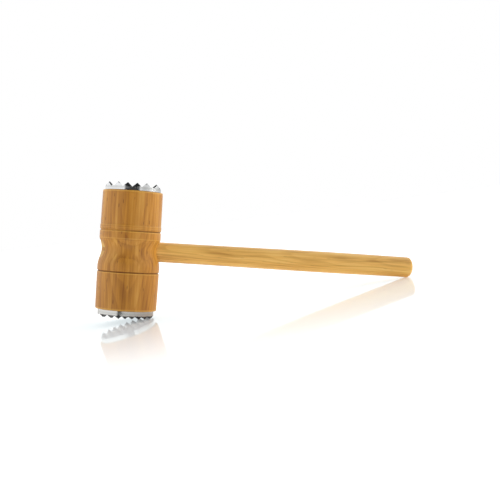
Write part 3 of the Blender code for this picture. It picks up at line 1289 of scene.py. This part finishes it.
    def _round(self, block: Wire) -> Wire:
        """Cuts a block round, and flat on the seat.

        Args:
            block: The block, covered with teeth.

        Returns:
            The toothed disc.
        """
        disc = self._rod(self._size("Radius"), 0.0, self._size("Thickness") * 1.5, self.RIM_STEPS)
        settings = {"operation": "INTERSECT", "solver": "EXACT"}
        return self.bench.add("GeometryNodeMeshBoolean", settings, {1: [block, disc]})

    def _bored(self, disc: Wire) -> Wire:
        """Bores the screw hole, and the countersink for the screw's head.

        Args:
            disc: The toothed disc.

        Returns:
            The bored disc.
        """
        bench = self.bench
        root, deep, clear = self._root(), self._size("Seat Depth"), self._size("Thickness") * 2
        small, wide = self._size("Hole Radius"), self._size("Seat Radius")
        hole = self._rod(small, root - clear, root + deep, self.HOLE_STEPS)
        way_in = self._rod(wide, root - self.OVERLAP, root + clear, self.HOLE_STEPS)
        feeds = {"Vertices": self.HOLE_STEPS, "Depth": deep}
        feeds |= {"Radius Top": wide, "Radius Bottom": small * 0.98}
        cone = bench.add("GeometryNodeMeshCone", {"fill_type": "NGON"}, feeds)
        feeds = {0: cone, "Translation": bench.vector(0.0, 0.0, root - deep)}
        seat = bench.add("GeometryNodeTransform", {}, feeds)
        for tool in (hole, seat, way_in):
            settings = {"operation": "DIFFERENCE", "solver": "EXACT"}
            disc = bench.add("GeometryNodeMeshBoolean", settings, {0: disc, 1: [tool]})
        return disc


@dataclass
class ToothedPlate:
    """A round aluminium plate with pyramid teeth, on one end of the head."""

    name: str
    side: int
    pitch: float
    tooth_height: float
    turned: float
    rows: int
    head: TurnedHead
    thickness: float = 0.0070
    radius: float = 0.0260

    @property
    def root(self) -> float:
        """Height of the grooves' bottoms over the seat."""
        return self.thickness - self.tooth_height

    def seat(self) -> Matrix:
        """Returns where the plate sits, in the tool's axes."""
        flip = Matrix.Identity(4) if self.side > 0 else Matrix.Rotation(math.pi, 4, "X")
        up = Matrix.Translation((0, 0, self.head.length / 2 + FIT_GAP))
        return flip @ up @ Matrix.Rotation(self.turned, 4, "Z")

    def build(self, shop: Workshop, tree: PlateTree, finish: bpy.types.Material) -> bpy.types.Object:
        """Makes the plate with its tree and seats it on the head.

        Args:
            shop: The workshop.
            tree: The plate's tree.
            finish: The plate's material.

        Returns:
            The finished plate.
        """
        plate = shop.blank(f"{self.name}_toothed_plate", bpy.data.meshes.new("plate_blank"))
        nodes = plate.modifiers.new("teeth", "NODES")
        nodes.node_group = tree.tree
        own = {
            "Radius": self.radius,
            "Thickness": self.thickness,
            "Pitch": self.pitch,
            "Tooth Height": self.tooth_height,
            tree.ROWS: self.rows,
            tree.FINISH: finish,
        }
        for name, value in own.items():
            nodes[tree.names[name]] = value
        shop.settle(plate)
        plate.data.transform(self.seat())
        return shop.deliver(plate, f"{self.name}_plate", finish, 24)


@dataclass
class PlateScrew:
    """The countersunk wood screw through the middle of a plate, with a slotted head."""

    plate: ToothedPlate
    length: float = 0.0300
    head_radius: float = 0.0033
    head_height: float = 0.0021
    shank_radius: float = 0.0018
    point: float = 0.0050
    slot_width: float = 0.0009
    slot_depth: float = 0.0008
    steps: int = 64

    def profile(self) -> Profile:
        """Returns the profile, from the middle of the head's top down to the point."""
        rim = self.head_height / 8
        dish = [(self.head_radius * share, 0.0) for share in (0.35, 0.7, 0.96)]
        shank = stations(-self.head_height * 1.4, self.point - self.length, 12)
        return [
            (0, 0),
            *dish,
            (self.head_radius, -rim / 2),
            (self.head_radius, -rim),
            (self.shank_radius * 1.06, -self.head_height * 0.96),
            (self.shank_radius, -self.head_height * 1.15),
            *[(self.shank_radius, z) for z in shank],
            (self.shank_radius * 0.5, self.point * 0.35 - self.length),
            (0, -self.length),
        ]

    def build(self, shop: Workshop, finish: bpy.types.Material) -> bpy.types.Object:
        """Turns the screw, saws its slot and sinks it in the plate.

        Args:
            shop: The workshop.
            finish: The screw's material.

        Returns:
            The finished screw.
        """
        name = f"{self.plate.name}_screw"
        screw = shop.blank(name, turned_mesh(name, self.profile(), self.steps))
        wide = 2 * (self.head_radius + OVERRUN)

        def place(x: float, y: float, z: float) -> Sequence[float]:
            """Places a point of the slot."""
            return (x - 0.5) * wide, (y - 0.5) * self.slot_width, (z - 0.5) * 2 * self.slot_depth

        shop.cut(screw, (shaped_block("screw_slot", 0, place),))
        shop.soften(screw, 0.00006, 2, 40)
        screw.data.transform(self.plate.seat() @ Matrix.Translation((0, 0, self.plate.root)))
        return shop.deliver(screw, f"{self.plate.name}_plate_screw", finish, 35)


# ---------------------------------------------------------------- studio


@dataclass(frozen=True)
class Viewpoint:
    """The camera: where it stands round the head, and how it is turned."""

    head: Vector
    bearing: float = 0.1346
    distance: float = 0.8614
    height: float = 0.10235
    yaw: float = 0.1307
    pitch: float = 0.0591
    roll: float = -0.1258
    lens: float = 65.6

    def build(self) -> None:
        """Makes the camera and gives it to the scene."""
        camera = bpy.data.objects.new("camera", bpy.data.cameras.new("camera"))
        camera.data.lens = self.lens
        camera.data.sensor_width = SENSOR_WIDTH
        heading = self.yaw + self.bearing
        level, drop = math.cos(self.pitch), math.sin(self.pitch)
        ahead = Vector((math.sin(heading) * level, math.cos(heading) * level, -drop))
        right = Vector((math.cos(heading), -math.sin(heading), 0.0))
        up = right.cross(ahead)
        tilted_right = right * math.cos(self.roll) + up * math.sin(self.roll)
        tilted_up = up * math.cos(self.roll) - right * math.sin(self.roll)
        turn = Matrix((tilted_right, tilted_up, -ahead)).transposed().to_4x4()
        stand = Vector((-math.sin(self.bearing), -math.cos(self.bearing), 0.0)) * self.distance
        place = Vector((self.head.x, self.head.y, self.height)) + stand
        camera.matrix_world = Matrix.Translation(place) @ turn
        bpy.context.scene.collection.objects.link(camera)
        bpy.context.scene.camera = camera


@dataclass(frozen=True)
class SoftLamp:
    """A square lamp that points at the tool and shows in no reflection."""

    name: str
    place: tuple[float, float, float]
    side: float
    watts: float

    def build(self) -> None:
        """Makes the lamp."""
        data = bpy.data.lights.new(self.name, "AREA")
        data.shape = "SQUARE"
        data.size = self.side
        data.energy = self.watts
        lamp = bpy.data.objects.new(self.name, data)
        lamp.location = self.place
        lamp.visible_glossy = False
        lamp.rotation_euler = Vector(self.place).to_track_quat("Z", "Y").to_euler()
        bpy.context.scene.collection.objects.link(lamp)


@dataclass(frozen=True)
class Studio:
    """A white tent with a dark opening behind the camera, and a pale glossy floor."""

    OPENING_SHIFT = 0.06
    OPENING_SIDES = (0.54, 0.46)
    OPENING_BACK = (-0.40, -0.25)
    OPENING_FOOT = (-0.05, -0.02)
    OPENING_DEPTH = 0.97
    BAND_FOOT = (0.17, 0.24)
    BAND_TOP = (0.65, 0.50)
    SHADE_SIDE = (0.50, 0.70)
    SHADE_FRONT = (-0.1, 0.1)
    BEHIND_FADE = (0.10, 0.03)
    MATT_WHITE = (0.96, 0.96, 0.96)
    MIRRORED_GREY = (0.76, 0.76, 0.75)

    floor_side: float = 6.0
    opening_bearing: float = 0.1346
    fill: float = 0.50
    right_shade: float = 0.35
    floor_glow: float = 0.42
    gloss: float = 0.60
    gloss_colour: Colour = (0.86, 0.97, 1.0)
    gloss_roughness: float = 0.05
    fade_start: float = 0.04
    fade_end: float = 0.44

    def build(self) -> None:
        """Makes the surroundings, the floor and the lamps."""
        bpy.context.scene.view_settings.view_transform = "Standard"
        self._tent()
        self._floor()
        for lamp in (
            SoftLamp("top_lamp", (0.0, 0.3, 1.8), 2.4, 1.0),
            SoftLamp("left_lamp", (-1.3, 0.0, 0.14), 0.26, 2.0),
            SoftLamp("right_lamp", (1.2, -0.2, 0.14), 0.26, 5.0),
        ):
            lamp.build()

    def _tent(self) -> None:
        """Lights everything from all round, with an opening that only reflections and shading meet."""
        world = bpy.data.worlds.new("tent")
        world.use_nodes = True
        bpy.context.scene.world = world
        bench = Bench(world.node_tree)
        direction = bench.add("ShaderNodeTexCoord", {}, {}, "Generated")
        x, y, z = direction.parts()
        level, sideways = math.cos(self.opening_bearing), math.sin(self.opening_bearing)
        aside = x * level - y * sideways
        towards = x * -sideways - y * level
        seen = bench.add("ShaderNodeLightPath", {}, {}, "Is Camera Ray")
        scattered = seen.beside("Is Diffuse Ray")
        opening = (aside + self.OPENING_SHIFT).size().ease(*self.OPENING_SIDES)
        opening = opening * towards.ease(*self.OPENING_BACK) * z.ease(*self.OPENING_FOOT)
        white_band = z.ease(*self.BAND_FOOT) * z.ease(*self.BAND_TOP) * (1.0 - scattered)
        glow = 1.0 - opening * (1.0 - white_band) * self.OPENING_DEPTH
        shaded = aside.ease(*self.SHADE_SIDE) * towards.ease(*self.SHADE_FRONT)
        dimmer = shaded * (1.0 - scattered) * self.right_shade
        strength = seen + (1.0 - seen) * (glow - dimmer) * (1.0 + scattered * self.fill)
        background = bench.add("ShaderNodeBackground", {}, {"Color": WHITE, "Strength": strength})
        output = bench.tree.nodes.new("ShaderNodeOutputWorld")
        bench.feed(output.inputs["Surface"], background)

    def _floor(self) -> None:
        """Lays the floor, whose mirror image of the tool fades away from it."""
        shape = bmesh.new()
        bmesh.ops.create_grid(shape, x_segments=1, y_segments=1, size=self.floor_side / 2)
        mesh = bpy.data.meshes.new("floor")
        shape.to_mesh(mesh)
        shape.free()
        material, bench = new_finish("pale_floor")
        place = bench.add("ShaderNodeTexCoord", {}, {}, "Object")
        depth = place.parts()[1]
        fade = depth.ease(-self.fade_end, -self.fade_start) * depth.ease(*self.BEHIND_FADE)
        facing = bench.add("ShaderNodeLayerWeight", {}, {"Blend": 0.5}, "Facing")
        matt = bench.add("ShaderNodeBsdfDiffuse", {}, {"Color": self.MATT_WHITE})
        lit = bench.add("ShaderNodeEmission", {}, {"Strength": self.floor_glow})
        bright = bench.add("ShaderNodeAddShader", {}, {0: matt, 1: lit})
        dim = bench.add("ShaderNodeBsdfDiffuse", {}, {"Color": self.MIRRORED_GREY})
        glint = bench.add("ShaderNodeLightPath", {}, {}, "Is Glossy Ray")
        feeds = {"Color": self.gloss_colour, "Roughness": self.gloss_roughness}
        sheen = bench.add("ShaderNodeBsdfGlossy", {}, feeds)
        share = fade * facing * self.gloss
        glossy = bench.add("ShaderNodeMixShader", {}, {0: share, 1: bright, 2: sheen})
        finish_surface(bench, bench.add("ShaderNodeMixShader", {}, {0: glint, 1: glossy, 2: dim}))
        mesh.materials.append(material)
        floor = bpy.data.objects.new("floor", mesh)
        bpy.context.scene.collection.objects.link(floor)


# ---------------------------------------------------------------- the whole tool


def main() -> None:
    """Builds every piece of the mallet on the frame, then the studio."""
    logging.basicConfig(level=logging.INFO, format="%(name)s: %(message)s")
    head = TurnedHead()
    wedge = Wedge(head)
    handle = Handle(head)
    axes = ToolAxes.from_record(frame["record"], handle.reach)
    Studio().build()
    Viewpoint(axes.placement.translation).build()
    shop = Workshop(axes)
    head.build(shop)
    handle.build(shop, wedge)
    wedge.build(shop)

    tree = PlateTree()
    steel = ScrewFinish().material(axes)
    bright = PlateFinish()
    # The fine plate's aluminium: its darker metal is painted shade that dims its reflection of the floor
    # under the head, and its tips get near-black painted shade.
    shade_painted = PlateFinish("shade_painted_aluminium", metal=(0.72, 0.71, 0.68), painted_tip_shade=0.92)
    coarse = ToothedPlate(
        "coarse", side=1, pitch=0.0086, tooth_height=0.0041, turned=math.radians(-10.3), rows=8, head=head
    )
    fine = ToothedPlate("fine", side=-1, pitch=0.0062, tooth_height=0.0032, turned=0.0, rows=10, head=head)
    for plate, finish in ((coarse, bright), (fine, shade_painted)):
        plate.build(shop, tree, finish.material(axes))
        PlateScrew(plate).build(shop, steel)


if __name__ == "__main__":
    main()
